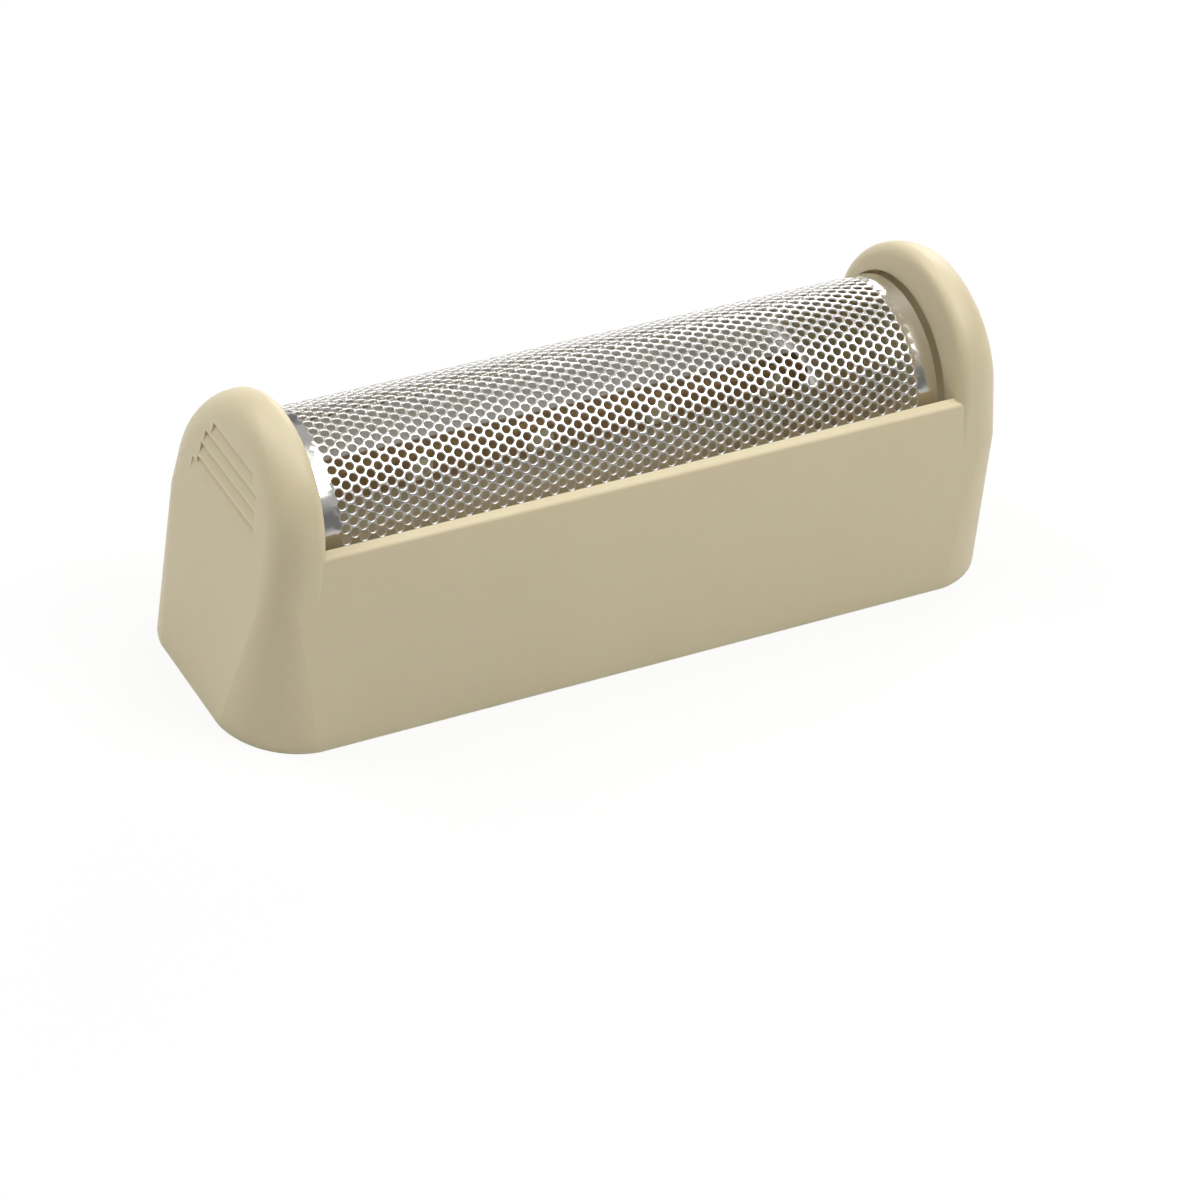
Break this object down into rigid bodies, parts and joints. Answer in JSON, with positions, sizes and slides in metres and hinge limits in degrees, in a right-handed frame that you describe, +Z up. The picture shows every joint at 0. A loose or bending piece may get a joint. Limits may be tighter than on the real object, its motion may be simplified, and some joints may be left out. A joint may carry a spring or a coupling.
{
  "type": "shaver foil head",
  "caption": "Moulded foil head of an electric shaver: an open-bottomed frame with two rounded cheeks and an arched perforated metal foil between them, clamped along both long edges.",
  "frame": {"origin": "middle of the footprint, on the plane of the bottom rim", "axes": "+X along the head, parallel to the foil's axis; +Z up, from the open mouth towards the foil's crown; -Y is the front"},
  "size_m": [0.06, 0.0196, 0.0226],
  "materials": {
    "frame_plastic": "satin gloss cream",
    "foil_nickel": "bright electroformed nickel",
    "strip_plastic": "natural moulded"
  },
  "bodies": {
    "root": {"frame": "frame_plastic", "foil": "foil_nickel", "foil_strip_front": "strip_plastic", "foil_strip_rear": "strip_plastic"}
  },
  "joints": []
}
